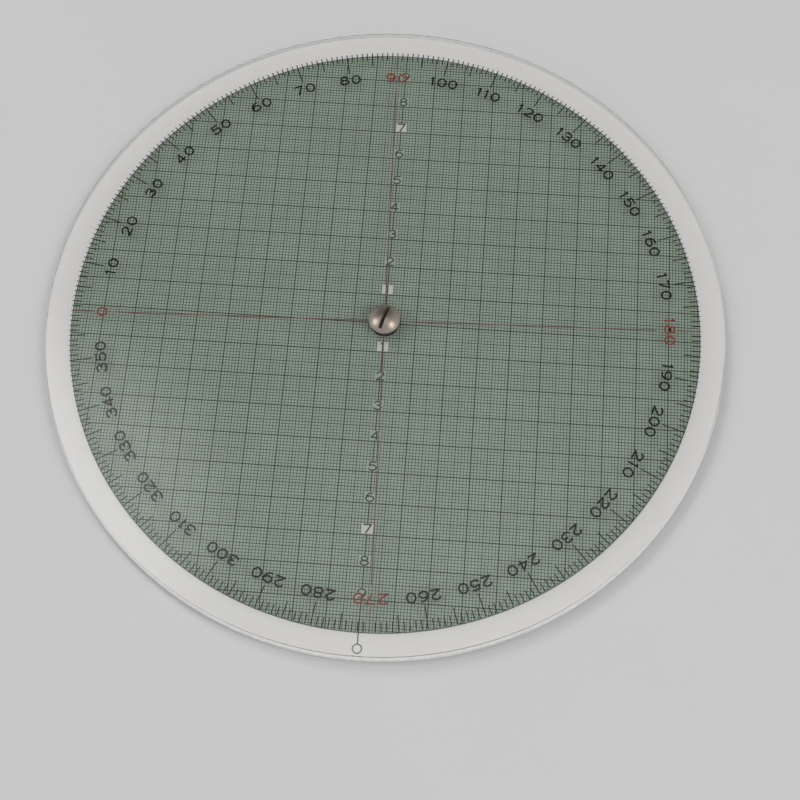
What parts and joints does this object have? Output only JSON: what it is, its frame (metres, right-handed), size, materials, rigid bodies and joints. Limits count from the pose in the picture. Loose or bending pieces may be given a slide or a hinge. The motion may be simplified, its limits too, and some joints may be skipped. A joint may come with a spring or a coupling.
{
  "type": "rotary wind plotting disc",
  "caption": "Round flight and navigation plotting computer: a clear degree dial turns over a gridded white base disc on a central slotted screw pivot.",
  "frame": {"origin": "on the pivot axis, in the plane the object rests on, which is the back face of the barrel nut", "axes": "+Z along the pivot axis, from the back towards the screw head; +Y along the grid's numbered centre line, away from the index mark; +X to the right"},
  "size_m": [0.216, 0.216, 0.0097],
  "materials": {
    "white_board": "milky white plastic board, polished",
    "green_print": "grey-green printed film",
    "clear_acrylic": "clear polished acrylic",
    "nickel_plate": "satin nickel plate",
    "dark_fibre": "black fibre washer",
    "black_ink": "screen-printed ink",
    "red_ink": "screen-printed ink",
    "grey_ink": "screen-printed ink"
  },
  "bodies": {
    "base": {"base_disc": "white_board", "grid_sheet": "green_print", "spacer_washer": "dark_fibre", "friction_washer": "dark_fibre", "barrel_nut": "nickel_plate", "pivot_screw": "nickel_plate"},
    "dial": {"bearing_dial": "clear_acrylic"}
  },
  "joints": [
    {"name": "dial_turn", "type": "hinge", "parent": "base", "child": "dial", "pos_m": [0, 0, 0.0058], "axis": [0, 0, 1], "continuous": true}
  ]
}
